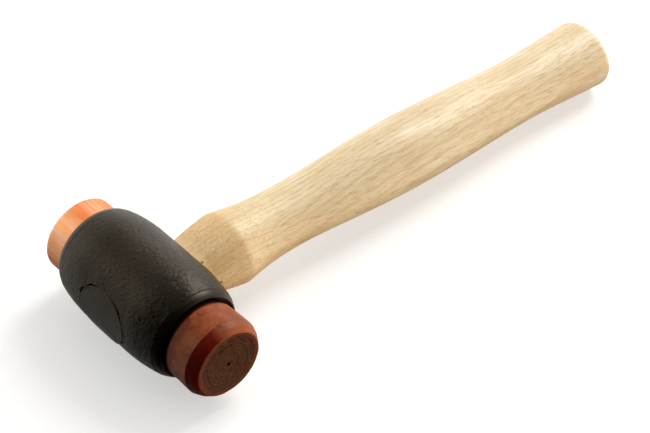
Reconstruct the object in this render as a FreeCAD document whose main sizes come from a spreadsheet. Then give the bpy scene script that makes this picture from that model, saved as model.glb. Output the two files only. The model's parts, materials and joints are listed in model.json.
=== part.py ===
"""Soft-faced mallet: an iron head with a copper plug and a rawhide plug, on an oval wooden handle.

Every piece is first drawn about the centre of the head: the head's axis is X, with the rawhide
plug towards +X, and the handle's axis is Y, with the butt towards +Y.  One placement then lays the
whole mallet on its side, resting on the barrel and on the butt, with the origin on the ground
under the middle of its bounding box.  All lengths are in millimetres.
"""

import FreeCAD, Part

import math
import os

import Sketcher
from FreeCAD import Placement, Rotation, Vector

doc = FreeCAD.newDocument("SoftFacedMallet")


# ---------------------------------------------------------------------------------- sizes

SIZES = {
    # plugs and their sockets
    "face_dia": 38.0,            # nominal diameter of both plugs
    "plug_gap": 0.05,            # radial gap of a plug in its socket
    "plug_lead": 1.0,            # chamfer on a plug's inner end
    "socket_depth": 15.0,
    # barrel of the head
    "barrel_half": 37.6,         # half the length of the casting
    "barrel_rad": 25.85,
    "belly_half": 15.0,          # half the length of the straight middle
    "belly_arc": 73.5,           # radius of the curve towards each end
    "band_at": 33.8,             # where the machined end band starts
    "shoulder_rad": 23.4,        # cast surface beside the band
    "band_rad": 23.15,           # machined surface beside the step
    "band_arc": 9.0,             # radius of the band's rounded profile
    "mouth_rad": 21.3,           # outer edge of the flat rim
    "rim_width": 0.4,
    "mouth_depth": 3.0,          # depth of the countersink inside the rim
    # eye through the head, an oval that narrows to the middle
    "eye_reach": 27.0,
    "eye_out_len": 15.9,         # half-widths along the head at the outer end
    "eye_out_thk": 13.0,
    "eye_mid_len": 14.6,
    "eye_mid_thk": 12.2,
    "eye_in_len": 15.8,          # and at the handle's side
    "eye_in_thk": 13.9,
    "eye_gap": 0.1,
    "tenon_crown": 26.6,         # radius of the dressed end of the tenon about the head's axis
    # copper plug
    "copper_stand": 13.27,       # how far it stands out of the head
    "copper_edge": 1.0,
    # rawhide plug
    "hide_stand": 21.53,
    "hide_neck": 19.75,          # radius just outside the socket
    "hide_front": 20.06,         # radius where the bevel starts
    "bevel_run": 5.83,           # from the start of the bevel to the striking end
    "bevel_drop": 1.26,          # on the radius, over the first part of the bevel
    "lip_run": 2.6,              # steeper last part of the bevel, next to the striking end
    "lip_drop": 1.70,
    "bevel_soft": 0.9,           # rounding of the bevel's edges
    "roll_core_dia": 1.8,        # hole left in the middle of the roll
    "roll_core_depth": 8.0,
    # handle: distance from the head's centre and half-width of each section
    "flatness": 0.88,            # thickness of the oval over its width
    "flare_at": 36.5,
    "flare_wide": 17.85,
    "shoulder_at": 46.5,
    "shoulder_wide": 19.4,
    "throat_at": 58.0,
    "throat_wide": 17.35,
    "waist_at": 75.0,
    "waist_wide": 15.95,
    "rise_at": 112.0,
    "rise_wide": 17.3,
    "swell_at": 148.5,
    "swell_wide": 18.9,
    "fall_at": 190.5,
    "fall_wide": 17.95,
    "grip_at": 232.5,
    "grip_wide": 16.7,
    "heel_at": 258.0,
    "heel_wide": 17.6,
    "butt_at": 278.0,
    "butt_wide": 18.6,
    "butt_round": 3.5,
    # wooden wedge along the head's axis, in the tenon's saw cut
    "wedge_fit": 0.05,
    "wedge_len": 33.0,
    "wedge_thick": 5.0,
    "wedge_tip": 1.2,
    "wedge_back_wide": 30.4,
    "wedge_tip_wide": 28.2,
    "kerf_spare": 3.0,           # saw cut left open beyond the wedge's tip
    # two steel wedges across the wooden one
    "cross_at": 7.0,
    "cross_len": 18.0,
    "cross_thick": 2.2,
    "cross_tip": 0.6,
    "cross_wide": 14.0,
}

sheet = doc.addObject("Spreadsheet::Sheet", "Sizes")
for row, (alias, size) in enumerate(SIZES.items(), start=1):
    sheet.set(f"A{row}", alias)
    sheet.set(f"B{row}", str(size))
    sheet.setAlias(f"B{row}", alias)
doc.recompute()


class Dim:
    """A length together with the sheet expression that drives it."""

    def __init__(self, value, text):
        self.value = float(value)
        self.text = text

    def combine(self, other, sign, value):
        text = other.text if isinstance(other, Dim) else repr(other)
        return Dim(value, f"({self.text} {sign} {text})")

    def __float__(self):
        return self.value

    def __add__(self, other):
        return self.combine(other, "+", self.value + float(other))

    def __sub__(self, other):
        return self.combine(other, "-", self.value - float(other))

    def __mul__(self, other):
        return self.combine(other, "*", self.value * float(other))

    def __truediv__(self, other):
        return self.combine(other, "/", self.value / float(other))

    def __neg__(self):
        return Dim(-self.value, f"(-{self.text})")


def dim(alias):
    return Dim(getattr(sheet, alias), f"Sizes.{alias}")


ZERO = Dim(0, "0")


def bind(target, name, size):
    """Set a length of a feature and tie it to the sheet."""
    setattr(target, name, size.value)
    target.setExpression(name, size.text)


# ---------------------------------------------------------------------------------- sketches

H_AXIS = -1
V_AXIS = -2


def new_body(label):
    body = doc.addObject("PartDesign::Body", label)
    body.Label = label
    return body


def origin_plane(body, role):
    return next(item for item in body.Origin.OriginFeatures if item.Role == role)


def new_sketch(body, name, role, offset=ZERO):
    """A sketch on one of the body's origin planes, moved along the plane's normal."""
    sketch = body.newObject("Sketcher::SketchObject", name)
    sketch.AttachmentSupport = [(origin_plane(body, role), "")]
    sketch.MapMode = "FlatFace"
    sketch.AttachmentOffset = Placement(Vector(0, 0, offset.value), Rotation())
    sketch.setExpression("AttachmentOffset.Base.z", offset.text)
    return sketch


def constrain(sketch, kind, items, size):
    index = sketch.addConstraint(Sketcher.Constraint(kind, *items, size.value))
    sketch.setExpression(f"Constraints[{index}]", size.text)


def pin_point(sketch, edge, end, x, y):
    """Hold one end of an edge at (x, y)."""
    for kind, size, axis in (("DistanceX", x, V_AXIS), ("DistanceY", y, H_AXIS)):
        if size is ZERO:
            sketch.addConstraint(Sketcher.Constraint("PointOnObject", edge, end, axis))
        else:
            constrain(sketch, kind, (H_AXIS, 1, edge, end), size)


def arc_centre(start, end, radius):
    """Centre of the arc that runs clockwise from start to end."""
    chord = end - start
    height = math.sqrt(radius ** 2 - (chord.Length / 2) ** 2)
    side = Vector(chord.y, -chord.x, 0).normalize()
    return (start + end) * 0.5 + side * height


def draw_outline(sketch, corners):
    """A closed outline.  A corner is (x, y), or (x, y, radius) where a clockwise arc leaves it."""
    points = [Vector(float(c[0]), float(c[1]), 0) for c in corners]
    edges = []
    for start, end, corner in zip(points, points[1:] + points[:1], corners):
        if len(corner) == 2:
            edges.append((sketch.addGeometry(Part.LineSegment(start, end)), 1, 2))
            continue
        centre = arc_centre(start, end, float(corner[2]))
        circle = Part.Circle(centre, Vector(0, 0, 1), float(corner[2]))
        angles = [math.atan2(p.y - centre.y, p.x - centre.x) for p in (end, start)]
        edges.append((sketch.addGeometry(Part.ArcOfCircle(circle, *angles)), 2, 1))
    for index, corner in enumerate(corners):
        edge, first, _ = edges[index]
        before, _, last = edges[index - 1]
        sketch.addConstraint(Sketcher.Constraint("Coincident", before, last, edge, first))
        pin_point(sketch, edge, first, corner[0], corner[1])
        if len(corner) == 3:
            constrain(sketch, "Radius", (edge,), corner[2])


def oval_sketch(body, name, at, length_half, thick_half):
    """An oval across the handle's axis, longer along the head than through it."""
    sketch = new_sketch(body, name, "XZ_Plane", -at)
    oval = Part.Ellipse(Vector(length_half.value, 0, 0), Vector(0, thick_half.value, 0), Vector())
    edge = sketch.addGeometry(oval)
    sketch.exposeInternalGeometry(edge)
    long_axis = edge + 1
    short_axis = edge + 2
    sketch.addConstraint(Sketcher.Constraint("Coincident", edge, 3, H_AXIS, 1))
    sketch.addConstraint(Sketcher.Constraint("Horizontal", long_axis))
    constrain(sketch, "Distance", (long_axis,), length_half * 2)
    constrain(sketch, "Distance", (short_axis,), thick_half * 2)
    return sketch


# ---------------------------------------------------------------------------------- features

def volume_of(body):
    doc.recompute()
    return body.Shape.Volume


def must_cut(body, volume_before, feature):
    if volume_of(body) >= volume_before - 1e-3:
        raise RuntimeError(f"{feature.Name} removed nothing from {body.Label}")


def revolve(body, kind, name, corners):
    """Turn an outline of the XY plane about the head's axis."""
    sketch = new_sketch(body, f"{name}Sketch", "XY_Plane")
    draw_outline(sketch, corners)
    feature = body.newObject(kind, name)
    feature.Profile = sketch
    feature.ReferenceAxis = (sketch, ["H_Axis"])
    feature.Angle = 360
    return feature


def extrude(body, kind, name, role, corners, length):
    """Pad or pocket an outline by the same amount on both sides of its plane."""
    sketch = new_sketch(body, f"{name}Sketch", role)
    draw_outline(sketch, corners)
    feature = body.newObject(kind, name)
    feature.Profile = sketch
    feature.SideType = "Symmetric"
    bind(feature, "Length", length)
    return feature


def loft(body, kind, name, sections):
    feature = body.newObject(kind, name)
    feature.Profile = sections[0]
    feature.Sections = sections[1:]
    return feature


def mirror(body, name, feature, role):
    mirrored = body.newObject("PartDesign::Mirrored", name)
    mirrored.Originals = [feature]
    mirrored.MirrorPlane = (origin_plane(body, role), [""])
    body.Tip = mirrored
    return mirrored


def edges_where(shape, test):
    return [f"Edge{i}" for i, edge in enumerate(shape.Edges, start=1) if test(edge)]


def box_sketch(body, name, at, wide, thick):
    """A rectangle across the handle's axis, centred on it."""
    sketch = new_sketch(body, name, "XZ_Plane", -at)
    side = wide / 2
    top = thick / 2
    draw_outline(sketch, [(-side, -top), (-side, top), (side, top), (side, -top)])
    return sketch


def eye_sections(body, prefix, gap):
    """The three ovals of the eye, each smaller than the eye by the gap."""
    reach = dim("eye_reach")
    stations = (("Outer", -reach, "eye_out"), ("Middle", ZERO, "eye_mid"), ("Inner", reach, "eye_in"))
    return [
        oval_sketch(body, f"{prefix}{word}", at, dim(f"{key}_len") - gap, dim(f"{key}_thk") - gap)
        for word, at, key in stations
    ]


def dress_end(body, name):
    """Cut the outer end of a piece in the eye back to the tenon's crown."""
    crown = dim("tenon_crown")
    rise = dim("eye_out_thk") + 2
    past = crown + 6
    on_crown = Dim(
        -math.sqrt(crown.value ** 2 - rise.value ** 2),
        f"(-sqrt({crown.text} ^ 2 - {rise.text} ^ 2))",
    )
    before = volume_of(body)
    corners = [(on_crown, -rise, crown), (on_crown, rise), (-past, rise), (-past, -rise)]
    pocket = extrude(body, "PartDesign::Pocket", name, "YZ_Plane", corners, dim("face_dia") * 2)
    must_cut(body, before, pocket)


# ---------------------------------------------------------------------------------- head

def build_head():
    """The casting: a crowned barrel with a blind socket in each end and an eye across it."""
    body = new_body("head_casting")
    end = dim("barrel_half")
    band = dim("band_at")
    belly = dim("belly_half")
    mouth = dim("mouth_rad")
    profile = [
        (-end, ZERO),
        (-end, mouth, dim("band_arc")),
        (-band, dim("band_rad")),
        (-band, dim("shoulder_rad"), dim("belly_arc")),
        (-belly, dim("barrel_rad")),
        (belly, dim("barrel_rad"), dim("belly_arc")),
        (band, dim("shoulder_rad")),
        (band, dim("band_rad"), dim("band_arc")),
        (end, mouth),
        (end, ZERO),
    ]
    revolve(body, "PartDesign::Revolution", "Barrel", profile)
    before = volume_of(body)

    bore = dim("face_dia") / 2 + dim("plug_gap")
    floor = end - dim("socket_depth")
    throat = end - dim("mouth_depth")
    rim = mouth - dim("rim_width")
    socket_profile = [(floor, ZERO), (floor, bore), (throat, bore), (end, rim), (end, ZERO)]
    socket = revolve(body, "PartDesign::Groove", "Socket", socket_profile)
    must_cut(body, before, socket)

    before = volume_of(body)
    must_cut(body, before, mirror(body, "OtherSocket", socket, "YZ_Plane"))

    before = volume_of(body)
    sections = eye_sections(body, "Eye", ZERO)
    must_cut(body, before, loft(body, "PartDesign::SubtractiveLoft", "Eye", sections))
    return body


def build_copper():
    """The copper plug: a plain turned cylinder with its striking edge broken."""
    body = new_body("copper_face")
    radius = dim("face_dia") / 2
    seat = -(dim("barrel_half") - dim("socket_depth") + dim("plug_gap"))
    face = -(dim("barrel_half") + dim("copper_stand"))
    edge = dim("copper_edge")
    lead = dim("plug_lead")
    profile = [
        (face, ZERO),
        (face, radius - edge, edge * 1.4),
        (face + edge, radius),
        (seat - lead, radius),
        (seat, radius - lead),
        (seat, ZERO),
    ]
    revolve(body, "PartDesign::Revolution", "Plug", profile)
    return body


def build_rawhide():
    """The rawhide plug: rolled hide, turned down in the socket and bevelled at its front."""
    body = new_body("rawhide_face")
    end = dim("barrel_half")
    radius = dim("face_dia") / 2
    seat = end - dim("socket_depth") + dim("plug_gap")
    face = end + dim("hide_stand")
    lead = dim("plug_lead")
    profile = [
        (seat, ZERO),
        (seat, radius - lead),
        (seat + lead, radius),
        (end - dim("mouth_depth"), radius),
        (end, dim("hide_neck")),
        (face - dim("bevel_run"), dim("hide_front")),
        (face - dim("lip_run"), dim("hide_front") - dim("bevel_drop")),
        (face, dim("hide_front") - dim("bevel_drop") - dim("lip_drop")),
        (face, ZERO),
    ]
    plug = revolve(body, "PartDesign::Revolution", "Plug", profile)
    doc.recompute()

    bevel_from = (face - dim("bevel_run")).value - 0.01
    fillet = body.newObject("PartDesign::Fillet", "BevelEdges")
    fillet.Base = (plug, edges_where(plug.Shape, lambda edge: edge.BoundBox.XMin > bevel_from
                                     and edge.BoundBox.YLength > 1.5 * radius.value))
    bind(fillet, "Radius", dim("bevel_soft"))
    before = volume_of(body)

    core = dim("roll_core_dia") / 2
    bottom = face - dim("roll_core_depth")
    core_profile = [(bottom, ZERO), (bottom, core), (face, core), (face, ZERO)]
    must_cut(body, before, revolve(body, "PartDesign::Groove", "RollCore", core_profile))
    return body


# ---------------------------------------------------------------------------------- handle

GRIP_STATIONS = ("shoulder", "throat", "waist", "rise", "swell", "fall", "grip", "heel", "butt")


def handle_section(body, station, prefix="Neck"):
    wide = dim(f"{station}_wide")
    name = f"{prefix}{station.capitalize()}"
    return oval_sketch(body, name, dim(f"{station}_at"), wide, wide * dim("flatness"))


def taper(depth, back, tip, fit):
    """A wedge's outline as (along, across) corners, grown by the fit for the slot it sits in."""
    start = -dim("eye_reach")
    wide = back / 2 + fit
    narrow = tip / 2 + fit
    return [(start, -wide), (start, wide), (start + depth, narrow), (start + depth, -narrow)]


def cross_taper(fit):
    """Outline of a steel wedge or of its slot, with the handle's axis along Y."""
    corners = taper(dim("cross_len") + fit, dim("cross_thick"), dim("cross_tip"), fit)
    return [(dim("cross_at") + across, along) for along, across in corners]


def kerf_outline():
    """The saw cut spread by the wooden wedge, and left open beyond the wedge's tip."""
    fit = dim("wedge_fit")
    back_low, back_high, tip_high, tip_low = taper(
        dim("wedge_len"), dim("wedge_thick"), dim("wedge_tip"), fit
    )
    bottom = tip_high[0] + dim("kerf_spare")
    return [back_low, back_high, tip_high, (bottom, tip_high[1]), (bottom, tip_low[1]), tip_low]


def cut_cross_slots(body, length):
    before = volume_of(body)
    corners = cross_taper(dim("wedge_fit"))
    slot = extrude(body, "PartDesign::Pocket", "CrossSlot", "XY_Plane", corners, length)
    must_cut(body, before, slot)
    before = volume_of(body)
    must_cut(body, before, mirror(body, "OtherCrossSlot", slot, "YZ_Plane"))


def build_handle():
    """The handle: tenon, flared neck up to a creased shoulder, and a long waisted grip."""
    body = new_body("handle")
    gap = dim("eye_gap")
    loft(body, "PartDesign::AdditiveLoft", "Tenon", eye_sections(body, "Tenon", gap))

    neck_size = (dim("eye_in_len") - gap, dim("eye_in_thk") - gap)
    neck_start = oval_sketch(body, "NeckOval", dim("eye_reach"), *neck_size)
    neck = [neck_start, handle_section(body, "flare"), handle_section(body, "shoulder")]
    loft(body, "PartDesign::AdditiveLoft", "Neck", neck)

    sections = [handle_section(body, station, "Grip") for station in GRIP_STATIONS]
    grip = loft(body, "PartDesign::AdditiveLoft", "Grip", sections)
    doc.recompute()

    butt = dim("butt_at").value - 0.01
    fillet = body.newObject("PartDesign::Fillet", "ButtEdge")
    fillet.Base = (grip, edges_where(grip.Shape, lambda edge: edge.CenterOfMass.y > butt))
    bind(fillet, "Radius", dim("butt_round"))

    dress_end(body, "TenonEnd")
    before = volume_of(body)
    kerf = extrude(body, "PartDesign::Pocket", "Kerf", "YZ_Plane", kerf_outline(), dim("face_dia"))
    must_cut(body, before, kerf)
    cut_cross_slots(body, dim("cross_wide") + dim("wedge_fit") * 2)
    return body


# ---------------------------------------------------------------------------------- wedges

def build_wood_wedge():
    """The wooden wedge, along the head's axis, slotted for the two steel ones."""
    body = new_body("wood_wedge")
    back = -dim("eye_reach")
    tip = back + dim("wedge_len")
    loft(body, "PartDesign::AdditiveLoft", "Wedge", [
        box_sketch(body, "WedgeBack", back, dim("wedge_back_wide"), dim("wedge_thick")),
        box_sketch(body, "WedgeTip", tip, dim("wedge_tip_wide"), dim("wedge_tip")),
    ])
    dress_end(body, "WedgeEnd")
    cut_cross_slots(body, dim("cross_wide"))
    return body


def build_steel_wedges():
    """Two equal steel wedges across the wooden one."""
    body = new_body("steel_wedges")
    body.AllowCompound = True
    wedge = extrude(body, "PartDesign::Pad", "Wedge", "XY_Plane", cross_taper(ZERO), dim("cross_wide"))
    doc.recompute()
    mirror(body, "OtherWedge", wedge, "YZ_Plane")
    dress_end(body, "WedgeEnds")
    return body


# ---------------------------------------------------------------------------------- assembly

def turned_bounds(shape, tilt):
    turned = shape.rotated(Vector(), Vector(1, 0, 0), -math.degrees(tilt))
    return turned.optimalBoundingBox(False, False)


def lying_placement(bodies, handle):
    """Lay the mallet down on its barrel and butt, with the origin under its middle."""
    barrel = sheet.barrel_rad
    tilt = 0.0
    for _ in range(5):
        gap = turned_bounds(handle.Shape, tilt).ZMin + barrel
        tilt += math.asin(gap / sheet.butt_at)

    bounds = turned_bounds(handle.Shape, tilt)
    for body in bodies:
        bounds.add(turned_bounds(body.Shape, tilt))
    turn = Rotation(Vector(1, 0, 0), -math.degrees(tilt))
    return Placement(Vector(-bounds.Center.x, -bounds.Center.y, barrel), turn)


handle = build_handle()
bodies = [
    build_head(),
    build_copper(),
    build_rawhide(),
    handle,
    build_wood_wedge(),
    build_steel_wedges(),
]
doc.recompute()
lying = lying_placement(bodies, handle)
for body in bodies:
    body.Placement = lying
doc.recompute()

for item in doc.Objects:
    if "Invalid" in item.State or "Error" in item.State:
        raise RuntimeError(f"{item.Name} failed to rebuild: {item.State}")
for body in bodies:
    if body.Shape.isNull() or not body.Shape.isValid():
        raise RuntimeError(f"{body.Label} has no valid shape")

os.makedirs("parts", exist_ok=True)
for body in bodies:
    body.Shape.exportStep(f"parts/{body.Label}.step")
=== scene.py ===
"""Looks of the copper and rawhide mallet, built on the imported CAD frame.

Meshes are made in the mallet's own frame, in mm: X along the head towards the rawhide, Y along the
handle towards the butt, origin at the middle of the head. LYING lays them down with the CAD part.
"""

import json
import math

import bmesh
import bpy
import numpy as np
from mathutils import Matrix, Vector


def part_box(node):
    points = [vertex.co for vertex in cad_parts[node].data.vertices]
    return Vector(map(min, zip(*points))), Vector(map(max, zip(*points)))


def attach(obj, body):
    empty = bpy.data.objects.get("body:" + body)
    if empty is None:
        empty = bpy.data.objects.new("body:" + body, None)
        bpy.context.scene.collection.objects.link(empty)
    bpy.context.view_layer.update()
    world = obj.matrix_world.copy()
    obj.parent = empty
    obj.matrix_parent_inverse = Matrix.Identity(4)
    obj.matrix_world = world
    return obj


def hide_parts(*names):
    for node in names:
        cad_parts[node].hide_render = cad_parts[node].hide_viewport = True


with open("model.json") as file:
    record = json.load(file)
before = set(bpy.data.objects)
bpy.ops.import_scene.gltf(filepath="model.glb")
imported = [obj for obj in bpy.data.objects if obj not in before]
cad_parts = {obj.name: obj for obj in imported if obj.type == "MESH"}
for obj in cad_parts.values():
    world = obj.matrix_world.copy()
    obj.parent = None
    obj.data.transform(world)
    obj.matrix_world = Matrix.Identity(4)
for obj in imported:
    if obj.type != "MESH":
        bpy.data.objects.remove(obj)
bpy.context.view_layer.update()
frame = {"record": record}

MM = 0.001
FULL = 2 * math.pi
NO_LENGTH = 0.001  # mm: edges and faces thinner than this are dropped after a cut
CREASE = 16  # degrees: edges that turn by more than this are shaded sharp

# ------------------------------------------------------------------------------ placement

mounts = {mount["name"]: mount for mount in frame["record"]["mounts"]}
head_low, head_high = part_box("head_casting")
_, head_y, head_z = mounts["copper_strike_face"]["pos_m"]
head_centre = Vector(((head_low[0] + head_high[0]) / 2, head_y, head_z))
tilt = -math.asin(mounts["grip"]["axis"][2])
LYING = Matrix.Translation(head_centre) @ Matrix.Rotation(-tilt, 4, "X")

# ------------------------------------------------------------------------------ mesh helpers


def smoothstep(value, low, high):
    t = np.clip((np.asarray(value, float) - low) / (high - low), 0.0, 1.0)
    return t * t * (3 - 2 * t)


def bump_at(value, centre, reach):
    """1 at the centre, falling smoothly to 0 at the reach on either side."""
    return smoothstep(reach - np.abs(np.asarray(value, float) - centre), 0.0, reach)


def random_field(points, wavelength, seed, waves=56):
    """A smooth random field over points (mm), with a spread of about 1."""
    rng = np.random.default_rng(seed)
    direction = rng.normal(size=(waves, 3))
    direction /= np.linalg.norm(direction, axis=1, keepdims=True)
    pitch = FULL / (wavelength * rng.uniform(0.7, 1.5, waves))
    phase = rng.uniform(0, FULL, waves)
    flat = points.reshape(-1, 3)
    total = np.sin(flat @ (direction * pitch[:, None]).T + phase).sum(axis=1)
    return (total * math.sqrt(2 / waves)).reshape(points.shape[:-1])


def arc(start, end, radius, steps):
    """Points of an arc from start to end that bulges away from the axis, as (x, r)."""
    start, end = np.array(start), np.array(end)
    chord = end - start
    half = np.linalg.norm(chord) / 2
    outward = np.array([-chord[1], chord[0]]) / (2 * half)
    if outward[1] < 0:
        outward = -outward
    centre = (start + end) / 2 - outward * math.sqrt(radius ** 2 - half ** 2)
    first, last = (math.atan2(*(point - centre)[::-1]) for point in (start, end))
    angles = np.linspace(first, last, steps + 1)
    return [tuple(centre + radius * np.array([math.cos(a), math.sin(a)])) for a in angles]


def soften(outline, steps=6):
    """Round the corners given as (x, r, radius) and pass the other points through."""
    points = [np.array(point[:2], float) for point in outline]
    done = [points[0]]
    for index in range(1, len(outline) - 1):
        corner = points[index]
        radius = outline[index][2] if len(outline[index]) > 2 else 0
        if not radius:
            done.append(corner)
            continue
        back, ahead = points[index - 1] - corner, points[index + 1] - corner
        back, ahead = back / np.linalg.norm(back), ahead / np.linalg.norm(ahead)
        half = math.acos(np.clip(back @ ahead, -1, 1)) / 2
        centre = corner + (back + ahead) / np.linalg.norm(back + ahead) * radius / math.sin(half)
        first = corner + back * radius / math.tan(half) - centre
        last = corner + ahead * radius / math.tan(half) - centre
        sweep = math.atan2(first[0] * last[1] - first[1] * last[0], first @ last)
        for step in range(steps + 1):
            c, s = math.cos(sweep * step / steps), math.sin(sweep * step / steps)
            done.append(centre + np.array([c * first[0] - s * first[1], s * first[0] + c * first[1]]))
    done.append(points[-1])
    return np.array(done)


def spaced(outline, step):
    """Split the pieces of an outline that are longer than the step."""
    outline = np.asarray(outline, float)
    done = [outline[0]]
    for start, end in zip(outline[:-1], outline[1:]):
        parts = max(1, math.ceil(np.linalg.norm(end - start) / step))
        done.extend(start + (end - start) * part / parts for part in range(1, parts + 1))
    return np.array(done)


def edit_mesh(mesh, action):
    """Run a bmesh action over a whole mesh."""
    shell = bmesh.new()
    shell.from_mesh(mesh)
    action(shell)
    shell.to_mesh(mesh)
    shell.free()


def apply_modifiers(piece):
    """Replace a piece's mesh by the one that its modifiers make."""
    graph = bpy.context.evaluated_depsgraph_get()
    result = bpy.data.meshes.new_from_object(piece.evaluated_get(graph))
    piece.modifiers.clear()
    piece.data = result


def mesh_from_rings(name, rings, start, end):
    """An object through rings of points in mm, closed by a fan to a point at either end."""
    rings = np.asarray(rings)
    count, around = rings.shape[:2]
    points = [rings.reshape(-1, 3)]
    column = np.arange(around)
    following = (column + 1) % around
    faces = []
    for row in range(count - 1):
        low, high = row * around, (row + 1) * around
        faces += np.stack([low + column, low + following, high + following, high + column], 1).tolist()
    for pole, row in ((start, 0), (end, count - 1)):
        tip = sum(len(part) for part in points)
        points.append(np.array([pole], float))
        edge = row * around
        fan = [edge + following, edge + column] if row == 0 else [edge + column, edge + following]
        faces += np.stack([*fan, np.full(around, tip)], 1).tolist()
    mesh = bpy.data.meshes.new(name)
    mesh.from_pydata((np.concatenate(points) * MM).tolist(), [], faces)
    mesh.validate()
    edit_mesh(mesh, lambda shell: bmesh.ops.recalc_face_normals(shell, faces=shell.faces))
    piece = bpy.data.objects.new(name, mesh)
    bpy.context.scene.collection.objects.link(piece)
    return piece


def turned(outline, around):
    """Rings of an outline (x, r) turned about the head's axis."""
    angle = np.linspace(0, FULL, around, endpoint=False)
    x = np.repeat(outline[:, :1], around, 1)
    return np.stack([x, outline[:, 1:] * np.cos(angle), outline[:, 1:] * np.sin(angle)], -1)


def outward(outline):
    """Unit normals of an outline (x, r), to its left when followed from -X to +X."""
    along = np.gradient(outline, axis=0)
    normal = np.stack([-along[:, 1], along[:, 0]], 1)
    return normal / np.maximum(np.linalg.norm(normal, axis=1, keepdims=True), 1e-9)


def push(rings, outline, height):
    """Move turned rings along the outline's normals by a height in mm for each point."""
    normal = outward(outline)
    angle = np.linspace(0, FULL, rings.shape[1], endpoint=False)
    move = np.stack([
        np.repeat(normal[:, :1], rings.shape[1], 1),
        normal[:, 1:] * np.cos(angle),
        normal[:, 1:] * np.sin(angle),
    ], -1)
    return rings + move * height[..., None]


def cut(piece, cutter):
    """Cut one object out of another, delete the cutter and drop faces with no area."""
    tool = piece.modifiers.new("cut", "BOOLEAN")
    tool.operation = "DIFFERENCE"
    tool.solver = "EXACT"
    tool.object = cutter
    apply_modifiers(piece)
    bpy.data.objects.remove(cutter)
    edit_mesh(piece.data, lambda shell: bmesh.ops.dissolve_degenerate(
        shell, dist=NO_LENGTH * MM, edges=shell.edges
    ))


def block(name, corners):
    """A six-sided cutter or wedge from eight corners: four at the -Y end, then four at the +Y end."""
    rings = np.array(corners, float).reshape(2, 4, 3)
    return mesh_from_rings(name, rings, start=rings[0].mean(axis=0), end=rings[1].mean(axis=0))


def ease_edges(piece, width):
    """Round the sharp edges of a small piece by a width in mm."""
    tool = piece.modifiers.new("ease", "BEVEL")
    tool.width = width * MM
    tool.segments = 2
    tool.limit_method = "ANGLE"
    apply_modifiers(piece)
    return piece


def finish_piece(piece, node, slot, *materials):
    """Lay a piece down, shade it, parent it to the root body and hide the CAD node that it stands for."""
    piece.matrix_world = LYING
    mesh = piece.data
    mesh.materials.clear()
    for material in materials:
        mesh.materials.append(material)
    mesh.polygons.foreach_set("use_smooth", [True] * len(mesh.polygons))
    mesh.set_sharp_from_angle(angle=math.radians(CREASE))
    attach(piece, "root")
    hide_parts(node)


def paint_second(piece, chosen):
    """Give a piece's second material to the faces whose middle, in mm, is chosen."""
    for polygon in piece.data.polygons:
        if chosen(polygon.center / MM):
            polygon.material_index = 1


# ------------------------------------------------------------------------------ material helpers


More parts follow.
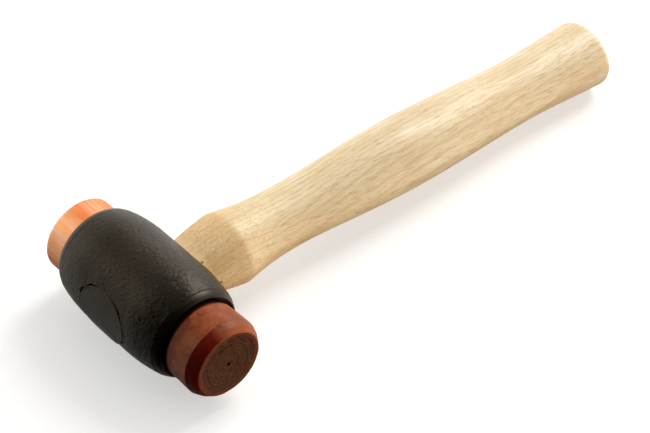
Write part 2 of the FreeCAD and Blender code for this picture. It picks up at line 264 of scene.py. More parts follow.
class Recipe:
    """A material with one Principled shader, painted from the object's own coordinates in mm."""

    def __init__(self, name, fixed):
        self.material = bpy.data.materials.new(name)
        self.material.use_nodes = True
        self.tree = self.material.node_tree
        self.surface = self.tree.nodes["Principled BSDF"]
        for socket, value in fixed.items():
            self.surface.inputs[socket].default_value = value
        coordinates = self.tree.nodes.new("ShaderNodeTexCoord").outputs["Object"]
        self.place = self.stretch(coordinates, (1000, 1000, 1000))
        self.x, self.y, self.z = self.split(self.place)

    def feed(self, socket, value):
        if isinstance(value, bpy.types.NodeSocket):
            self.tree.links.new(value, socket)
        else:
            socket.default_value = value

    def use(self, **sockets):
        """Feed the shader: color, roughness, normal."""
        names = {"color": "Base Color", "roughness": "Roughness", "normal": "Normal"}
        for key, value in sockets.items():
            self.feed(self.surface.inputs[names[key]], value)

    def num(self, operation, first, second=0.0):
        node = self.tree.nodes.new("ShaderNodeMath")
        node.operation = operation
        for socket, value in zip(node.inputs, (first, second)):
            self.feed(socket, value)
        return node.outputs[0]

    def total(self, *values):
        result = values[0]
        for value in values[1:]:
            result = self.num("ADD", result, value)
        return result

    def times(self, *values):
        result = values[0]
        for value in values[1:]:
            result = self.num("MULTIPLY", result, value)
        return result

    def length(self, *values):
        return self.num("SQRT", self.total(*(self.times(value, value) for value in values)))

    def stretch(self, vector, factors):
        node = self.tree.nodes.new("ShaderNodeVectorMath")
        node.operation = "MULTIPLY"
        self.feed(node.inputs[0], vector)
        node.inputs[1].default_value = factors
        return node.outputs[0]

    def split(self, vector):
        node = self.tree.nodes.new("ShaderNodeSeparateXYZ")
        self.feed(node.inputs[0], vector)
        return node.outputs[:]

    def join(self, x, y, z):
        node = self.tree.nodes.new("ShaderNodeCombineXYZ")
        for socket, value in zip(node.inputs, (x, y, z)):
            self.feed(socket, value)
        return node.outputs[0]

    def noise(self, size, vector=None, detail=2.0, rough=0.5, distort=0.0):
        """Noise from 0 to 1 with features of about the given size in mm."""
        node = self.tree.nodes.new("ShaderNodeTexNoise")
        self.feed(node.inputs["Vector"], self.place if vector is None else vector)
        node.inputs["Scale"].default_value = 1 / size
        node.inputs["Detail"].default_value = detail
        node.inputs["Roughness"].default_value = rough
        node.inputs["Distortion"].default_value = distort
        return node.outputs[0]

    def span(self, value, low, high, to_low=0.0, to_high=1.0, smooth=True):
        """Map low..high to to_low..to_high, held at the ends."""
        node = self.tree.nodes.new("ShaderNodeMapRange")
        node.interpolation_type = "SMOOTHSTEP" if smooth else "LINEAR"
        node.clamp = True
        for socket, number in zip(node.inputs, (value, low, high, to_low, to_high)):
            self.feed(socket, number)
        return node.outputs[0]

    def peak(self, value, centre, reach):
        """1 at the centre, 0 beyond the reach on either side."""
        away = self.num("ABSOLUTE", self.num("SUBTRACT", value, centre))
        return self.span(away, 0, reach, 1, 0)

    def mix(self, factor, first, second, blend="MIX"):
        node = self.tree.nodes.new("ShaderNodeMix")
        node.data_type = "RGBA"
        node.blend_type = blend
        self.feed(node.inputs[0], factor)
        for socket, value in zip(node.inputs[6:8], (first, second)):
            self.feed(socket, (*value, 1.0) if isinstance(value, tuple) else value)
        return node.outputs[2]

    def shade(self, color, factor):
        """Multiply a color by a number."""
        return self.mix(1.0, color, self.join(factor, factor, factor), "MULTIPLY")

    def bump(self, height, depth, normal=None):
        """Normal for a height of 0..1 that stands for a depth in mm."""
        node = self.tree.nodes.new("ShaderNodeBump")
        node.inputs["Strength"].default_value = 1.0
        node.inputs["Distance"].default_value = depth * MM
        self.feed(node.inputs["Height"], height)
        if normal is not None:
            self.feed(node.inputs["Normal"], normal)
        return node.outputs[0]


# ------------------------------------------------------------------------------ sizes (mm)

BARREL_HALF = 37.6
BELLY_HALF = 15.0
BARREL_RAD = 25.85
SHOULDER = (33.62, 23.43)
GROOVE = (33.78, 23.0)
BAND = (34.05, 23.1)
MOUTH_RAD = 21.3
RIM_RAD = 21.05
SOCKET_RAD = 19.05
SOCKET_FLOOR = 22.6
THROAT = 34.6

EYE_REACH = 27.0
EYE_LENGTHS = (15.9, 14.6, 15.8)
EYE_WIDTHS = (13.0, 12.2, 13.9)


def through_three(values, y):
    """The quadratic through the eye's outer, middle and inner sizes."""
    outer, middle, inner = values
    t = np.asarray(y, float) / EYE_REACH
    return middle + (inner - outer) / 2 * t + ((inner + outer) / 2 - middle) * t * t


def eye_point(angle, y, grow):
    """X and Z on the eye's oval at a depth y, moved out by grow."""
    half_x = through_three(EYE_LENGTHS, y) + grow
    half_z = through_three(EYE_WIDTHS, y) + grow
    return half_x * np.cos(angle), half_z * np.sin(angle)


# half of the head's outer outline, from the middle to the mouth
half_barrel = (
    [(x, BARREL_RAD) for x in np.linspace(0, BELLY_HALF, 36)[:-1]]
    + arc((BELLY_HALF, BARREL_RAD), SHOULDER, 73.5, 46)
    + [(SHOULDER[0] + 0.06, SHOULDER[1] - 0.1), GROOVE, (GROOVE[0] + 0.1, GROOVE[1])]
    + arc(BAND, (BARREL_HALF, MOUTH_RAD), 9.0, 14)
)


def barrel_radius(x):
    xs, rs = zip(*half_barrel)
    return np.interp(np.abs(x), xs, rs)


# ------------------------------------------------------------------------------ head casting


# cracks round the painted end of the tenon: middle and reach in degrees, width in mm
CRACKS = ((155, 13, 1.0), (126, 25, 0.92), (48, 21, 0.8), (338, 8, 1.1), (235, 45, 0.3))
# nicks in the eye's edge on the handle's side, in the same terms
NICKS = ((50, 4, 0.8), (0, 3, 0.7))


def crack_width(angle):
    """Width in mm of the cracks at an angle round the tenon."""
    degrees = np.degrees(angle) % 360
    width = sum(bump_at(degrees, middle, reach) * widest for middle, reach, widest in CRACKS)
    ragged = 1 + 0.2 * np.sin(degrees * 0.55 + 1) + 0.2 * np.sin(degrees * 1.31)
    return width * (ragged + 0.15 * np.sin(degrees * 0.87))


def nick_width(angle):
    """Width in mm of the nicks at an angle round the eye."""
    degrees = (np.degrees(angle) + 180) % 360 - 180
    return sum(bump_at(degrees, middle, reach) * widest for middle, reach, widest in NICKS)


def eye_swell(angle):
    """How far the painted end of the tenon spreads over the eye's edge, in mm."""
    return 0.7 * bump_at(np.degrees(angle) % 360, 137, 42)


def eye_mouth(angle, side, widen):
    """Depths and growth of the eye from outside the casting down to its plain bore."""
    x, z = eye_point(angle, side * EYE_REACH, 0)
    surface = np.sqrt(barrel_radius(x) ** 2 - z ** 2)
    steps = ((-4, 1, 0.1), (0, 1, 0.1), (0.3, 1, 0), (1.9, 1, 0), (2.4, 0.5, 0), (2.8, 0, 0))
    return [(side * (surface - depth), widen * share + edge) for depth, share, edge in steps]


def build_head():
    half = half_barrel + [
        (BARREL_HALF, RIM_RAD + 0.1), (BARREL_HALF - 0.08, RIM_RAD - 0.03), (THROAT + 1.5, 20.0),
        (THROAT, SOCKET_RAD), (30, SOCKET_RAD), (26, SOCKET_RAD),
        (SOCKET_FLOOR, SOCKET_RAD), (SOCKET_FLOOR, 10), (SOCKET_FLOOR, 0.3),
    ]
    outline = np.array([(-x, r) for x, r in reversed(half)] + half[1:])
    rings = turned(outline, 330)
    cast = smoothstep(outline[:, 1], 23.2, 23.6)[:, None] * np.ones(rings.shape[1])
    relief = 0.022 * random_field(rings, 2.2, 11) + 0.03 * random_field(rings, 12.0, 12)
    rings = push(rings, outline, relief * cast)
    piece = mesh_from_rings(
        "mallet_head", rings, start=(-SOCKET_FLOOR, 0, 0), end=(SOCKET_FLOOR, 0, 0)
    )

    angle = np.linspace(0, FULL, 360, endpoint=False)
    inside = [(np.full_like(angle, y), 0 * angle) for y in (-17, -9, 0, 9, 17)]
    outer_end = eye_mouth(angle, -1, crack_width(angle) + eye_swell(angle))
    stations = outer_end + inside + eye_mouth(angle, 1, nick_width(angle))[::-1]
    eye = []
    for y, grow in stations:
        x, z = eye_point(angle, y, grow)
        eye.append(np.stack([x, y, z], -1))
    cut(piece, mesh_from_rings("eye_cutter", eye, start=(0, -40, 0), end=(0, 40, 0)))
    return piece


# ------------------------------------------------------------------------------ plugs

PLUG_RAD = 19.0
FOOT_RAD = 18.0
PLUG_FOOT = 22.65  # either plug's inner end, just off the socket's floor
COPPER_FACE = 50.87


def build_copper():
    outline = soften([
        (-COPPER_FACE, 0.4),
        (-COPPER_FACE, PLUG_RAD, 1.15),
        (-23.6, PLUG_RAD, 0.1),
        (-PLUG_FOOT, FOOT_RAD, 0.1),
        (-PLUG_FOOT, 0.4),
    ])
    outline = spaced(outline, 0.9)
    rings = turned(outline, 256)
    relief = 0.02 * random_field(rings * (0.15, 1, 1), 3.0, 21) + 0.02 * random_field(rings, 9.0, 22)
    rings = push(rings, outline, relief)
    return mesh_from_rings("copper_plug", rings, start=(-COPPER_FACE, 0, 0), end=(-PLUG_FOOT, 0, 0))


HIDE_FACE = 59.13
HIDE_BEVEL = 53.3  # x where the bevel starts
HIDE_LIP = 56.53  # x where the bevel gives way to the steeper lip round the end
HIDE_PITCH = 1.75  # thickness of one turn of the roll
CORE_RAD = 0.9
CORE_DEPTH = 8
BARE_RAD = 16.6  # the end is bare inside this radius


def hide_relief(rings, outline):
    """Height in mm on the rawhide: slight waves on its side, turns and splits on its end."""
    x = rings[..., 0]
    radius = np.hypot(rings[..., 1], rings[..., 2])
    angle = np.arctan2(rings[..., 2], rings[..., 1])
    wander = 0.35 * random_field(rings, 9.0, 31)
    turns = (radius + wander) / HIDE_PITCH - angle / FULL
    phase = np.abs((turns + 0.5) % 1 - 0.5) * HIDE_PITCH
    on_end = smoothstep(x, HIDE_FACE - 0.6, HIDE_FACE - 0.1) * smoothstep(16.4 - radius, 0, 1.2)
    on_end = on_end * smoothstep(radius, 1.2, 2.4)
    layer = np.sin(np.floor(turns) * 2.4) * 0.05
    seam = -0.055 * smoothstep(0.4 - phase, 0, 0.4)
    degrees = np.degrees(angle)
    split_at = np.interp(degrees, (70, 83, 118, 128), (11.6, 11.4, 11.2, 10.6))
    split = -0.7 * bump_at(radius, split_at, 0.34)
    split = split * smoothstep(degrees, 76, 86) * smoothstep(128 - degrees, 0, 12)
    dash = -0.6 * bump_at(radius, 12.0, 0.3) * bump_at(degrees, 46, 9)
    side = 0.03 * random_field(rings, 7.0, 32) + 0.012 * random_field(rings * (1, 0.25, 0.25), 1.2, 33)
    end = layer + seam + split + dash + 0.05 * random_field(rings, 3.5, 34)
    return on_end * end + (1 - on_end) * side


def build_rawhide():
    side = soften([
        (PLUG_FOOT, 0.4),
        (PLUG_FOOT, FOOT_RAD, 0.1),
        (23.65, PLUG_RAD, 0.1),
        (37.0, PLUG_RAD),
        (40.6, 19.7, 3.0),
        (HIDE_BEVEL, 20.06, 0.8),
        (HIDE_LIP, 18.80, 1.4),
        (HIDE_FACE, 17.10, 0.9),
        (HIDE_FACE, 15.0),
    ])
    end = np.array([(HIDE_FACE, r) for r in np.arange(14.8, CORE_RAD + 0.3, -0.2)])
    hole = np.array([
        (HIDE_FACE - 0.05, CORE_RAD + 0.1), (HIDE_FACE - 0.25, CORE_RAD), (HIDE_FACE - CORE_DEPTH, CORE_RAD)
    ])
    outline = np.concatenate([spaced(side, 0.6), end, hole])
    rings = turned(outline, 420)
    rings = push(rings, outline, hide_relief(rings, outline))
    return mesh_from_rings(
        "rawhide_plug", rings, start=(PLUG_FOOT, 0, 0), end=(HIDE_FACE - CORE_DEPTH, 0, 0)
    )


# ------------------------------------------------------------------------------ handle

NECK = ((27.0, 15.7, 13.8), (36.5, 17.85, 15.71), (46.5, 19.4, 17.07))
GRIP = (
    (46.5, 19.4), (58.0, 17.35), (75.0, 15.95), (112.0, 17.3), (148.5, 18.9),
    (190.5, 17.95), (232.5, 16.7), (258.0, 17.6), (278.0, 18.6),
)
FLATNESS = 0.88
BUTT = 278.0
BUTT_ROUND = 3.5
TENON_CUT = -24.0  # where the outline of the tenon's end is taken
PAINT_TO = -21.5  # the tenon is painted up to here
WEDGE_TOP = -25.0  # the wedges end just under the painted end of the tenon
CROSS_AT = (-7.0, 7.0)  # the two steel wedges

# tapers from the wedges' tops into the tenon: y of the far end, thickness at both ends, width
KERF = (9.0, 4.9, 1.0, 30.5)
WOOD_WEDGE = (6.0, 4.75, 1.2, 29.4)
CROSS_KERF = (-8.95, 2.15, 0.7, 14.1)
WEDGE_SPLIT = (-9.0, 2.2, 0.66, 14.0)  # where a steel wedge goes through the wooden one
STEEL_WEDGE = (-9.1, 1.95, 0.6, 13.9)


def natural_spline(knots, values, at):
    """Natural cubic spline through the knots."""
    knots, values = np.array(knots), np.array(values)
    gap = np.diff(knots)
    rise = np.diff(values) / gap
    size = len(knots)
    matrix = np.eye(size)
    right = np.zeros(size)
    for i in range(1, size - 1):
        matrix[i, i - 1:i + 2] = gap[i - 1], 2 * (gap[i - 1] + gap[i]), gap[i]
        right[i] = 6 * (rise[i] - rise[i - 1])
    bend = np.linalg.solve(matrix, right)
    i = np.clip(np.searchsorted(knots, at) - 1, 0, size - 2)
    left, ahead = at - knots[i], knots[i + 1] - at
    return (
        (bend[i] * ahead ** 3 + bend[i + 1] * left ** 3) / (6 * gap[i])
        + (values[i] / gap[i] - bend[i] * gap[i] / 6) * ahead
        + (values[i + 1] / gap[i] - bend[i + 1] * gap[i] / 6) * left
    )


def handle_half_sizes(y):
    """Half-width and half-thickness of the handle outside the head."""
    if y < NECK[-1][0]:
        at, wide, thick = (np.array(column) for column in zip(*NECK))
        return np.polyval(np.polyfit(at, wide, 2), y), np.polyval(np.polyfit(at, thick, 2), y)
    at, wide = zip(*GRIP)
    half = float(natural_spline(at, wide, np.array([y]))[0])
    return half, half * FLATNESS


def eased_half_sizes(y):
    """The same, with the crease at the shoulder rounded over."""
    reach = 1.8 * smoothstep(4.0 - abs(y - NECK[-1][0]), 0, 2.0)
    samples = [handle_half_sizes(y + reach * share) for share in np.linspace(-1, 1, 9)]
    return np.mean(samples, axis=0)


def crown(x, z):
    """Y of the dressed end of the tenon: proud of the head at its lower side, flush at its upper."""
    radius = 26.55 - 0.5 * smoothstep(z + 0.3 * np.maximum(x, 0), -7, 1)
    radius -= 0.2 * smoothstep(z - 0.5 * x, 9, 15)
    return -np.sqrt(radius ** 2 - z ** 2)


def taper(start, sizes, flat):
    """Corners of a taper along Y: a flat one is thin in Z, as the wooden wedge, others in X."""
    end, thick_start, thick_end, width = sizes
    rows = []
    for y, half in ((start, thick_start / 2), (end, thick_end / 2)):
        x, z = (width / 2, half) if flat else (half, width / 2)
        rows.append([(-x, y, -z), (-x, y, z), (x, y, z), (x, y, -z)])
    return np.array(rows)


def dressed_end(angle):
    """Rings of the tenon's end, from its middle to its rim and down its side."""
    spread = eye_swell(angle) - 0.02
    rim_x, rim_z = eye_point(angle, TENON_CUT, spread)
    rings = []
    for share in (0.04, 0.1, 0.18, 0.26, 0.34, 0.42, 0.5, 0.58, 0.66, 0.74, 0.82, 0.88, 0.93, 0.965):
        rings.append(np.stack([rim_x * share, crown(rim_x * share, rim_z * share), rim_z * share], -1))
    # the rim is rounded where the paint has cracked, and nearly sharp elsewhere
    worn = 0.25 + 0.75 * smoothstep(crack_width(angle), 0, 0.3)
    rim = ((0.0, 0.32), (0.05, 0.18), (0.16, 0.06), (0.35, 0.0))
    stations = [(drop * worn, spread - inset * worn) for drop, inset in rim]
    stations += [(drop, spread * share) for drop, share in ((0.9, 1.0), (1.9, 1.0), (3.0, -0.25))]
    for drop, grow in stations:
        x, z = eye_point(angle, TENON_CUT, grow)
        y = crown(x, z) + drop
        x, z = eye_point(angle, y, grow)
        rings.append(np.stack([x, y, z], -1))
    return rings


def neck_to_butt(angle):
    """Rings of the handle from the head to its rounded butt, and in to the butt's middle."""
    neck = np.concatenate([np.arange(27.0, 43.0, 0.8), np.arange(43.2, 50.0, 0.35)])
    grip = np.arange(50.6, BUTT - BUTT_ROUND, 1.2)
    sections = [(y, *eased_half_sizes(y)) for y in np.concatenate([neck, grip])]
    for turn in np.linspace(0, math.pi / 2, 11):
        y = BUTT - BUTT_ROUND + BUTT_ROUND * math.sin(turn)
        inset = BUTT_ROUND * (1 - math.cos(turn))
        sections.append((y, *(size - inset for size in handle_half_sizes(y))))
    rings = [
        np.stack([wide * np.cos(angle), np.full_like(angle, y), thick * np.sin(angle)], -1)
        for y, wide, thick in sections
    ]
    return rings + [rings[-1] * (share, 1, share) for share in (0.9, 0.75, 0.6, 0.45, 0.3, 0.15, 0.05)]


def build_handle():
    angle = np.linspace(0, FULL, 288, endpoint=False)
    rings = dressed_end(angle)
    for y in np.arange(-19.0, 26.0, 3.0):
        x, z = eye_point(angle, y, -0.05)
        rings.append(np.stack([x, np.full_like(x, y), z], -1))
    rings = np.array(rings + neck_to_butt(angle))
    wave = 0.05 * random_field(rings * (1, 0.12, 1), 8.0, 41)
    wave += 0.04 * random_field(rings * (1, 0.4, 1), 30.0, 42)
    wave *= smoothstep(rings[..., 1], 30, 40) * smoothstep(BUTT - rings[..., 1], 0.2, 4)
    rings = rings + wave[..., None] * np.stack([np.cos(angle), 0 * angle, np.sin(angle)], -1)
    piece = mesh_from_rings("mallet_handle", rings, start=(0, crown(0, 0), 0), end=(0, BUTT, 0))

    cut(piece, block("kerf_cutter", taper(WEDGE_TOP, KERF, flat=True)))
    for middle in CROSS_AT:
        corners = taper(WEDGE_TOP - 0.05, CROSS_KERF, flat=False) + (middle, 0, 0)
        cut(piece, block("cross_cutter", corners))
    return piece


# ------------------------------------------------------------------------------ wedges


def build_wood_wedge():
    piece = block("wooden_wedge", taper(WEDGE_TOP + 0.1, WOOD_WEDGE, flat=True))
    for middle in CROSS_AT:
        corners = taper(WEDGE_TOP - 1, WEDGE_SPLIT, flat=False) + (middle, 0, 0)
        cut(piece, block("cross_cutter", corners))
    return ease_edges(piece, 0.15)


def build_steel_wedges():
    wedges = [
        block("steel_wedge", taper(WEDGE_TOP + 0.1, STEEL_WEDGE, flat=False) + (at, 0, 0))
        for at in CROSS_AT
    ]
    both = bmesh.new()
    for wedge in wedges:
        both.from_mesh(wedge.data)
    both.to_mesh(wedges[0].data)
    both.free()
    bpy.data.objects.remove(wedges[1])
    return ease_edges(wedges[0], 0.15)


# ------------------------------------------------------------------------------ materials


def paint_coat(recipe):
    """Color, roughness and normal of the black paint over the sand casting."""
    broad = recipe.noise(14.0, detail=3)
    fine = recipe.noise(0.75, detail=3, rough=0.6, distort=1.2)
    pebble = recipe.noise(1.5, recipe.stretch(recipe.place, (1.0, 0.55, 1.0)), detail=2, distort=2.2)
    color = recipe.mix(recipe.span(broad, 0.3, 0.7), (0.0065, 0.0042, 0.0014), (0.0115, 0.008, 0.003))
    color = recipe.mix(recipe.span(fine, 0.58, 0.8, 0, 0.3), color, (0.034, 0.026, 0.013))
    rough = recipe.total(recipe.span(broad, 0.3, 0.7, 0.26, 0.34), recipe.span(fine, 0.3, 0.7, -0.05, 0.06))
    oval = recipe.total(
        recipe.num("POWER", recipe.times(recipe.x, 1 / EYE_LENGTHS[0]), 2.0),
        recipe.num("POWER", recipe.times(recipe.z, 1 / EYE_WIDTHS[0]), 2.0),
    )
    on_tenon = recipe.times(recipe.span(oval, 0.9, 1.05, 1, 0), recipe.span(recipe.y, -10, 0, 1, 0))
    texture = recipe.span(on_tenon, 0, 1, 1.0, 0.4)
    normal = recipe.bump(recipe.times(pebble, texture), 0.20)
    normal = recipe.bump(recipe.times(fine, texture), 0.10, normal)
    return color, rough, normal


def head_material():
    recipe = Recipe("black_cast_paint", {
        "Specular IOR Level": 0.25, "Specular Tint": (1.0, 0.80, 0.58, 1),
        "Sheen Weight": 0.06, "Sheen Roughness": 0.35, "Sheen Tint": (1.0, 0.80, 0.62, 1),
    })
    color, rough, normal = paint_coat(recipe)
    across = recipe.num("ABSOLUTE", recipe.x)
    band = recipe.span(across, GROOVE[0] - 0.18, GROOVE[0] + 0.22)
    lines = recipe.noise(0.5, recipe.stretch(recipe.place, (1.0, 0.06, 0.06)), detail=2)
    smooth_rough = recipe.span(lines, 0.3, 0.7, 0.28, 0.38)
    smooth_normal = recipe.bump(lines, 0.02)
    radius = recipe.length(recipe.y, recipe.z)
    rough = recipe.total(rough, recipe.span(recipe.x, 12, 26, 0, -0.08))
    # painted shade: the walls of the eye's cracks and of the socket's mouth are made near black and fully
    # rough, as shade
    in_eye = recipe.times(
        recipe.span(radius, BARREL_RAD - 0.35, BARREL_RAD - 0.17, 1, 0),
        recipe.span(across, 18.6, 19.0, 1, 0),
    )
    in_socket = recipe.times(
        recipe.span(radius, MOUTH_RAD - 0.7, MOUTH_RAD - 0.4, 1, 0), recipe.span(across, 19.0, 20.0)
    )
    painted_recess_shade = recipe.num("MAXIMUM", in_eye, in_socket)
    color = recipe.mix(band, color, (0.012, 0.009, 0.004))
    # painted shade: the paint is darkened towards the rawhide end of the head
    color = recipe.shade(color, recipe.span(recipe.x, 10, 26, 1.0, 0.3))
    rough = recipe.total(
        recipe.times(rough, recipe.num("SUBTRACT", 1.0, band)),
        recipe.times(smooth_rough, band),
    )
    recipe.use(
        color=recipe.mix(painted_recess_shade, color, (0.004, 0.003, 0.002)),
        roughness=recipe.num("MAXIMUM", rough, painted_recess_shade),
        normal=recipe.mix(band, normal, smooth_normal),
    )
    return recipe.material


def copper_material():
    recipe = Recipe("drawn_copper", {"Metallic": 1.0, "Specular Tint": (0.75, 0.62, 0.55, 1)})
    streak = recipe.noise(1.3, recipe.stretch(recipe.place, (0.05, 1, 1)), detail=4, rough=0.65)
    thin = recipe.noise(0.35, recipe.stretch(recipe.place, (0.03, 1, 1)), detail=3, rough=0.6)
    cloud = recipe.noise(10.0, detail=3)
    angle = recipe.num("ARCTAN2", recipe.z, recipe.y)
    color = recipe.mix(recipe.span(streak, 0.35, 0.68), (0.95, 0.33, 0.125), (0.98, 0.50, 0.31))
    color = recipe.mix(recipe.span(cloud, 0.5, 0.75, 0, 0.4), color, (0.88, 0.28, 0.09))
    on_end = recipe.span(recipe.x, 0.17 - COPPER_FACE, 0.47 - COPPER_FACE, 1, 0)
    on_side = recipe.num("SUBTRACT", 1.0, on_end)
    # painted shade: a darker, deeper orange band along the side at about 102 degrees round the axis
    deep = recipe.times(recipe.peak(angle, 1.78, 0.32), on_side, 0.75)
    color = recipe.mix(deep, color, (0.92, 0.26, 0.06))
    # painted light: the copper's side is paler towards -Y and deeper orange towards +Y, standing in for how
    # the light falls
    across = recipe.total(recipe.y, recipe.span(cloud, 0.3, 0.7, -1.5, 1.5))
    painted_side_light_tint = recipe.mix(recipe.span(across, -8.5, 2.0), (1.0, 1.25, 1.4), (0.88, 0.74, 0.76))
    color = recipe.mix(on_side, color, painted_side_light_tint, "MULTIPLY")
    radius = recipe.length(recipe.y, recipe.z)
    turning = recipe.noise(0.45, recipe.join(radius, 0.0, 0.0), detail=3)
    turned_end = recipe.times(on_end, recipe.span(turning, 0.42, 0.62, 0, 0.4))
    color = recipe.mix(turned_end, color, (0.80, 0.27, 0.10))
    height = recipe.total(recipe.times(thin, on_side), recipe.times(turning, on_end))
    rough = recipe.total(
        recipe.span(streak, 0.3, 0.7, 0.52, 0.62), recipe.span(thin, 0.3, 0.7, -0.05, 0.05)
    )
    recipe.use(
        color=color,
        roughness=rough,
        normal=recipe.bump(height, 0.03, recipe.bump(streak, 0.03)),
    )
    return recipe.material


def rawhide_material():
    recipe = Recipe("lacquered_rawhide", {"Specular IOR Level": 0.22, "Specular Tint": (1.0, 0.66, 0.42, 1)})
    cloud = recipe.noise(6.0, detail=4, rough=0.6)
    fibre = recipe.noise(0.9, recipe.stretch(recipe.place, (1.4, 0.4, 0.4)), detail=4, rough=0.65)
    color = recipe.mix(recipe.span(cloud, 0.3, 0.7), (0.18, 0.029, 0.007), (0.285, 0.068, 0.019))
    color = recipe.mix(recipe.span(fibre, 0.5, 0.75, 0, 0.45), color, (0.38, 0.125, 0.050))
    # painted shade: the rawhide is darkened next to the head's mouth, reaching further out on the -Y side
    mouth_shade_reach = recipe.total(
        recipe.x, recipe.span(cloud, 0.3, 0.7, -3.0, 3.0), recipe.span(recipe.y, -18.0, 2.0, -4.0, 2.5)
    )
    painted_mouth_shade = recipe.span(mouth_shade_reach, BARREL_HALF + 1.9, BARREL_HALF + 5.9, 0.75, 0)
    color = recipe.mix(painted_mouth_shade, color, (0.125, 0.012, 0.004))
    bevel = recipe.span(recipe.x, HIDE_BEVEL - 0.3, HIDE_BEVEL + 0.3)
    # painted shade: the bevel and lip are deep maroon towards -Y and warm orange towards +Y
    height = recipe.total(recipe.y, recipe.span(cloud, 0.3, 0.7, -2.0, 2.0))
    painted_front_shade = recipe.span(height, -6.0, 2.0, 1, 0)
    lip = recipe.span(recipe.x, HIDE_LIP - 0.33, HIDE_LIP + 0.37)
    warm = recipe.mix(lip, (0.21, 0.062, 0.027), (0.26, 0.056, 0.016))
    deep = recipe.mix(painted_front_shade, warm, (0.115, 0.0015, 0.001))
    color = recipe.mix(recipe.times(bevel, 0.9), color, deep)
    # painted shade: a near-black ring on the rawhide just outside the head's mouth, for the dark gap there
    painted_gap_shade = recipe.span(recipe.x, BARREL_HALF + 1.1, BARREL_HALF + 2.3, 0.95, 0)
    color = recipe.mix(painted_gap_shade, color, (0.008, 0.003, 0.002))
    edge = recipe.peak(recipe.x, HIDE_BEVEL - 0.05, 0.55)
    color = recipe.mix(recipe.times(edge, 0.35), color, (0.05, 0.010, 0.006))
    recipe.use(
        color=color,
        roughness=recipe.span(fibre, 0.3, 0.7, 0.36, 0.50),
        normal=recipe.bump(fibre, 0.05, recipe.bump(cloud, 0.12)),
    )
    return recipe.material


def hide_end_material():
    recipe = Recipe("cut_rawhide", {"Specular IOR Level": 0.06})
    radius = recipe.length(recipe.y, recipe.z)
    angle = recipe.num("ARCTAN2", recipe.z, recipe.y)
    wander = recipe.span(recipe.noise(7.0, detail=3), 0.2, 0.8, -0.35, 0.35)
    turns = recipe.total(
        recipe.num("DIVIDE", radius, HIDE_PITCH), recipe.num("DIVIDE", angle, -FULL), wander
    )
    phase = recipe.num("FRACT", turns)
    fine = recipe.noise(0.6, detail=4, rough=0.6)
    cloud = recipe.noise(5.0, detail=3)
    turn = recipe.span(phase, 0.1, 0.9, smooth=False)
    color = recipe.mix(turn, (0.050, 0.0135, 0.0038), (0.074, 0.0225, 0.0065))
    seam = recipe.total(recipe.span(phase, 0.0, 0.12, 1, 0), recipe.span(phase, 0.90, 1.0, 0, 1))
    color = recipe.mix(recipe.times(seam, 0.32), color, (0.034, 0.010, 0.0035))
    color = recipe.mix(recipe.span(cloud, 0.5, 0.75, 0, 0.5), color, (0.094, 0.032, 0.011))
    color = recipe.mix(recipe.span(fine, 0.6, 0.8, 0, 0.35), color, (0.14, 0.065, 0.035))
    outer_layer = recipe.total(radius, recipe.span(cloud, 0.3, 0.7, -0.6, 0.6))
    color = recipe.mix(recipe.span(outer_layer, 14.2, 15.6), color, (0.105, 0.026, 0.009))
    recipe.use(
        color=color,
        roughness=recipe.span(fine, 0.3, 0.7, 0.42, 0.60),
        normal=recipe.bump(fine, 0.06, recipe.bump(phase, 0.10)),
    )
    return recipe.material


PITH = (-34.0, 22.0)  # x and z of the middle of the tree, beside the handle
RING_WIDTH = 2.9
# dark specks on the neck, beside the head where the eye's edge is nicked
DARK_SPECKS = ((9.6, 24.6, 10.9), (16.4, 30.1, 0.4))  # on the neck, beside the head


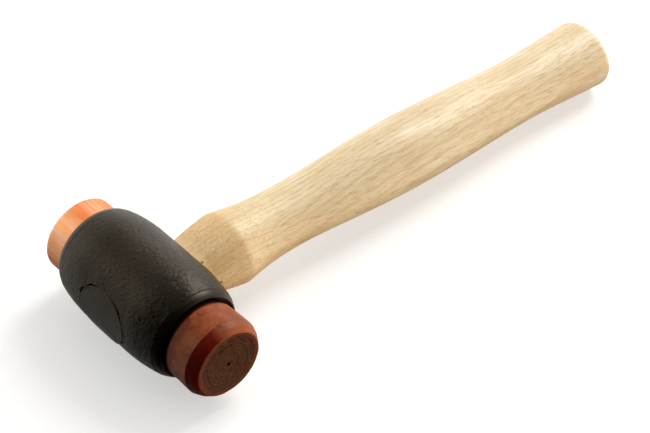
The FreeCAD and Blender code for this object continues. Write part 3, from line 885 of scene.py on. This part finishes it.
def wood_material(name):
    """Pale ring-porous wood under a thin varnish."""
    recipe = Recipe(name, {"Coat Weight": 0.22, "Coat Roughness": 0.28, "Specular IOR Level": 0.4})
    long_wave = recipe.noise(26.0, recipe.stretch(recipe.place, (1, 0.12, 1)), detail=2)
    sway = recipe.noise(9.0, recipe.stretch(recipe.place, (1, 0.10, 1)), detail=3)
    from_pith = recipe.length(
        recipe.num("SUBTRACT", recipe.x, PITH[0]), recipe.num("SUBTRACT", recipe.z, PITH[1])
    )
    ring = recipe.total(
        from_pith,
        recipe.span(long_wave, 0.2, 0.8, -4.0, 4.0, smooth=False),
        recipe.span(sway, 0.2, 0.8, -1.2, 1.2, smooth=False),
        recipe.times(recipe.y, 0.018),
    )
    phase = recipe.num("FRACT", recipe.num("DIVIDE", ring, RING_WIDTH))
    early = recipe.total(recipe.span(phase, 0.0, 0.35, 1, 0), recipe.span(phase, 0.9, 1.0, 0, 1))
    fibre = recipe.noise(0.36, recipe.stretch(recipe.place, (1, 0.016, 1)), detail=1.5, rough=0.5)
    streak = recipe.noise(0.9, recipe.stretch(recipe.place, (1, 0.03, 1)), detail=4, rough=0.7)
    pores = recipe.noise(0.24, recipe.stretch(recipe.place, (1, 0.022, 1)), detail=1.5, rough=0.5)
    dashes = recipe.noise(0.28, recipe.stretch(recipe.place, (1, 0.022, 1)), detail=1.0, rough=0.5)
    ring_pores = recipe.times(recipe.span(pores, 0.58, 0.68), recipe.span(early, 0.0, 1.0, 0.3, 1.0))
    pore_mark = recipe.num("MAXIMUM", recipe.span(dashes, 0.62, 0.68), ring_pores)
    patch = recipe.noise(16.0, recipe.stretch(recipe.place, (1, 0.3, 1)), detail=3)
    neck = recipe.span(recipe.y, 45.0, 48.4, 1, 0)
    color = recipe.mix(recipe.span(patch, 0.3, 0.7), (0.68, 0.522, 0.312), (0.76, 0.645, 0.44))
    toward_head = recipe.span(recipe.y, 60, 150, 1, 0)
    color = recipe.mix(toward_head, color, (0.97, 0.93, 0.84), "MULTIPLY")
    color = recipe.mix(recipe.times(early, 0.22), color, (0.58, 0.36, 0.155))
    broken = recipe.noise(0.8, recipe.stretch(recipe.place, (1, 0.012, 1)), detail=2, rough=0.6)
    line = recipe.times(recipe.peak(phase, 0.93, 0.075), recipe.span(broken, 0.42, 0.56, 0.0, 0.7))
    color = recipe.mix(line, color, (0.57, 0.335, 0.135))
    color = recipe.mix(recipe.span(streak, 0.5, 0.68, 0, 0.35), color, (0.62, 0.45, 0.255))
    color = recipe.mix(recipe.span(fibre, 0.54, 0.64, 0, 0.55), color, (0.60, 0.40, 0.19))
    marks = recipe.times(pore_mark, recipe.span(neck, 0, 1, 0.62, 0.7))
    color = recipe.mix(marks, color, (0.40, 0.235, 0.085))
    color = recipe.mix(neck, color, (1.04, 0.945, 0.83), "MULTIPLY")
    for speck in DARK_SPECKS:
        place = (recipe.x, recipe.y, recipe.z)
        reach = recipe.length(*(recipe.num("SUBTRACT", value, at) for value, at in zip(place, speck)))
        color = recipe.mix(recipe.span(reach, 0.35, 0.8, 0.9, 0), color, (0.025, 0.014, 0.007))
    height = recipe.total(recipe.times(fibre, 0.35), recipe.times(pore_mark, -1.0))
    rough = recipe.total(
        recipe.span(fibre, 0.3, 0.7, 0.46, 0.56),
        recipe.times(pore_mark, 0.15),
        recipe.times(neck, 0.12),
        recipe.span(recipe.y, 110, 180, 0, -0.10),
    )
    recipe.use(color=color, roughness=rough, normal=recipe.bump(height, 0.05))
    return recipe.material


def steel_material():
    recipe = Recipe("bare_wedge_steel", {"Metallic": 1.0})
    grind = recipe.noise(0.4, recipe.stretch(recipe.place, (1, 0.05, 1)), detail=3)
    stain = recipe.noise(3.0, detail=4, rough=0.6)
    rough = recipe.total(recipe.span(stain, 0.3, 0.7, 0.32, 0.5), recipe.span(grind, 0.3, 0.7, -0.05, 0.05))
    recipe.use(
        color=recipe.mix(recipe.span(stain, 0.45, 0.7), (0.46, 0.45, 0.44), (0.28, 0.24, 0.21)),
        roughness=rough,
        normal=recipe.bump(grind, 0.03, recipe.bump(stain, 0.03)),
    )
    return recipe.material


# ------------------------------------------------------------------------------ the mallet

cast_paint = head_material()
finish_piece(build_head(), "head_casting", "head_paint", cast_paint)
finish_piece(build_copper(), "copper_face", "copper", copper_material())

rawhide = build_rawhide()
finish_piece(rawhide, "rawhide_face", "rawhide", rawhide_material(), hide_end_material())
paint_second(rawhide, lambda at: at.x > HIDE_FACE - 10 and math.hypot(at.y, at.z) < BARE_RAD)

handle = build_handle()
finish_piece(handle, "handle", "handle_wood", wood_material("varnished_handle_wood"), cast_paint)
paint_second(handle, lambda at: at.y < PAINT_TO)

finish_piece(build_wood_wedge(), "wood_wedge", "wedge_wood", wood_material("plain_wedge_wood"))
finish_piece(build_steel_wedges(), "steel_wedges", "wedge_steel", steel_material())

# ------------------------------------------------------------------------------ stage and light

scene = bpy.context.scene
scene.view_settings.view_transform = "Standard"

floor_mesh = bpy.data.meshes.new("floor")
floor_mesh.from_pydata([(-6, -6, 0), (6, -6, 0), (6, 6, 0), (-6, 6, 0)], [], [(0, 1, 2, 3)])
floor = bpy.data.objects.new("floor", floor_mesh)
scene.collection.objects.link(floor)
paper = bpy.data.materials.new("pale_paper")
paper.use_nodes = True
for socket, value in {
    "Base Color": (0.62, 0.62, 0.62, 1),
    "Roughness": 0.9,
    "Emission Color": (1, 1, 1, 1),
    "Emission Strength": 0.50,
}.items():
    paper.node_tree.nodes["Principled BSDF"].inputs[socket].default_value = value
floor_mesh.materials.append(paper)
floor.visible_diffuse = False
floor.visible_glossy = False
floor.visible_shadow = False


def area_light(name, toward, distance, size, power, color):
    """A square light looking at the mallet from a direction."""
    toward = Vector(toward).normalized()
    data = bpy.data.lights.new(name, "AREA")
    data.shape = "SQUARE"
    data.size = size
    data.energy = power
    data.color = color
    light = bpy.data.objects.new(name, data)
    light.location = toward * distance
    light.rotation_mode = "QUATERNION"
    light.rotation_quaternion = toward.to_track_quat("Z", "Y")
    scene.collection.objects.link(light)


area_light("key", (-0.12, 0.70, 0.70), 1.6, 0.9, 21, (0.99, 0.985, 0.95))
area_light("right_fill", (0.80, 0.42, 0.43), 2.2, 2.0, 12, (1.0, 0.95, 0.84))
area_light("left_front", (-0.68, -0.54, 0.50), 2.2, 1.2, 5.5, (1.0, 0.99, 0.89))
area_light("floor_glow", (0.86, 0.40, -0.32), 2.2, 2.0, 43, (1.0, 0.85, 0.67))

# grey studio walls: pale to the left and behind, dark in front and to the right
world = bpy.data.worlds.new("studio")
scene.world = world
world.use_nodes = True
walls = world.node_tree


def wall_fade(value, low, high, dark, pale):
    node = walls.nodes.new("ShaderNodeMapRange")
    node.interpolation_type = "SMOOTHSTEP"
    walls.links.new(value, node.inputs["Value"])
    for socket, number in zip(node.inputs[1:5], (low, high, dark, pale)):
        socket.default_value = number
    return node.outputs["Result"]


def wall_product(first, second):
    node = walls.nodes.new("ShaderNodeMath")
    node.operation = "MULTIPLY"
    walls.links.new(first, node.inputs[0])
    walls.links.new(second, node.inputs[1])
    return node.outputs[0]


direction = walls.nodes.new("ShaderNodeTexCoord").outputs["Generated"]
lean = walls.nodes.new("ShaderNodeVectorMath")
lean.operation = "DOT_PRODUCT"
walls.links.new(direction, lean.inputs[0])
lean.inputs[1].default_value = (-0.8, 0.6, 0.0)
height = walls.nodes.new("ShaderNodeSeparateXYZ")
walls.links.new(direction, height.inputs[0])
side_light = wall_fade(lean.outputs["Value"], -0.3, 0.12, 0.006, 1.36)
overhead = wall_fade(height.outputs["Z"], 0.1, 0.85, 1.0, 0.55)
from_below = wall_fade(height.outputs["Z"], -0.95, -0.05, 0.10, 1.0)
strength = wall_product(wall_product(side_light, overhead), from_below)
walls.links.new(strength, walls.nodes["Background"].inputs["Strength"])
walls.nodes["Background"].inputs["Color"].default_value = (0.99, 0.972, 0.92, 1)

# ------------------------------------------------------------------------------ camera

CAMERA_AWAY = 1.2716  # m
azimuth, elevation, roll = (math.radians(angle) for angle in (49.7195, 43.3845, -0.135))
target = Vector((0.01042, -0.03235, 0.02585))
back = Vector((
    math.sin(azimuth) * math.cos(elevation),
    -math.cos(azimuth) * math.cos(elevation),
    math.sin(elevation),
))
right = Vector((math.cos(azimuth), math.sin(azimuth), 0.0))
up = back.cross(right)
turned_right = right * math.cos(roll) + up * math.sin(roll)
turned_up = up * math.cos(roll) - right * math.sin(roll)
camera = bpy.data.objects.new("camera", bpy.data.cameras.new("camera"))
camera.data.sensor_width = 36.0
camera.data.lens = 151.46
camera.data.clip_start = 0.1
camera.data.clip_end = 20.0
camera.matrix_world = Matrix.Translation(target + back * CAMERA_AWAY) @ Matrix(
    (turned_right, turned_up, back)
).transposed().to_4x4()
scene.collection.objects.link(camera)
scene.camera = camera
